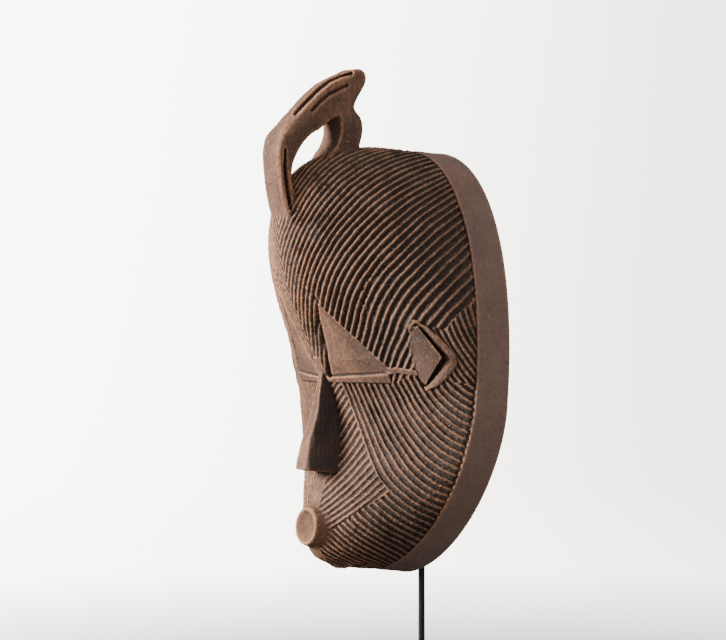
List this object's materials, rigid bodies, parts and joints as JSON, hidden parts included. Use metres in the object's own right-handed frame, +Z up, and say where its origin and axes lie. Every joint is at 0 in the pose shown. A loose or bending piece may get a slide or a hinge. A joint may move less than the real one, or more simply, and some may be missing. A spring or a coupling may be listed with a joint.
{
  "type": "carved wooden mask on stand",
  "caption": "Carved wooden face mask with incised line relief, a fin-like pierced crest and a smooth rim band, hung on a black steel rod stand.",
  "frame": {"origin": "on the underside of the felt sheet, on the turning axis of the post", "axes": "+Z up along the post; the mask faces -Y; +X is to the right when it is seen from the front"},
  "size_m": [0.2726, 0.2116, 0.5629],
  "materials": {
    "carved_wood": "matte brown carved wood, dark in the grooves, worn pale on the ridges",
    "black_steel": "satin black coated steel",
    "zinc_steel": "zinc plated steel",
    "felt": "charcoal wool felt",
    "nylon": "natural nylon",
    "sleeve": "soft black tubing"
  },
  "bodies": {
    "stand": {"felt_sheet": "felt", "base_plate": "black_steel", "post_collar": "black_steel", "collar_screw_1": "zinc_steel", "collar_screw_2": "zinc_steel", "collar_screw_3": "zinc_steel"},
    "washer": {"thumb_washer": "nylon"},
    "thumb": {"thumb_screw": "zinc_steel"},
    "upright": {"post": "black_steel", "hanger_bar": "black_steel", "sleeve_right": "sleeve", "sleeve_left": "sleeve", "stand_off_peg": "black_steel", "stand_off_pad": "felt"},
    "carving": {"mask": "carved_wood"}
  },
  "joints": [
    {"name": "post_swivel", "type": "hinge", "parent": "stand", "child": "upright", "pos_m": [0, 0, 0.02], "axis": [0, 0, 1], "continuous": true},
    {"name": "mask_lift", "type": "slide", "parent": "upright", "child": "carving", "axis": [0, 0.0837, 0.9965], "range_m": [0, 0.04]},
    {"name": "washer_travel", "type": "slide", "parent": "stand", "child": "washer", "axis": [0, 1, 0], "range_m": [0, 0.0016]},
    {"name": "thumb_turn", "type": "hinge", "parent": "washer", "child": "thumb", "pos_m": [0, 0.02, 0.0276], "axis": [0, 1, 0], "range_deg": [0, 720]}
  ],
  "couplings": [
    {"joint": "washer_travel", "follows": "thumb_turn", "m_per_rad": 0.00012732}
  ]
}
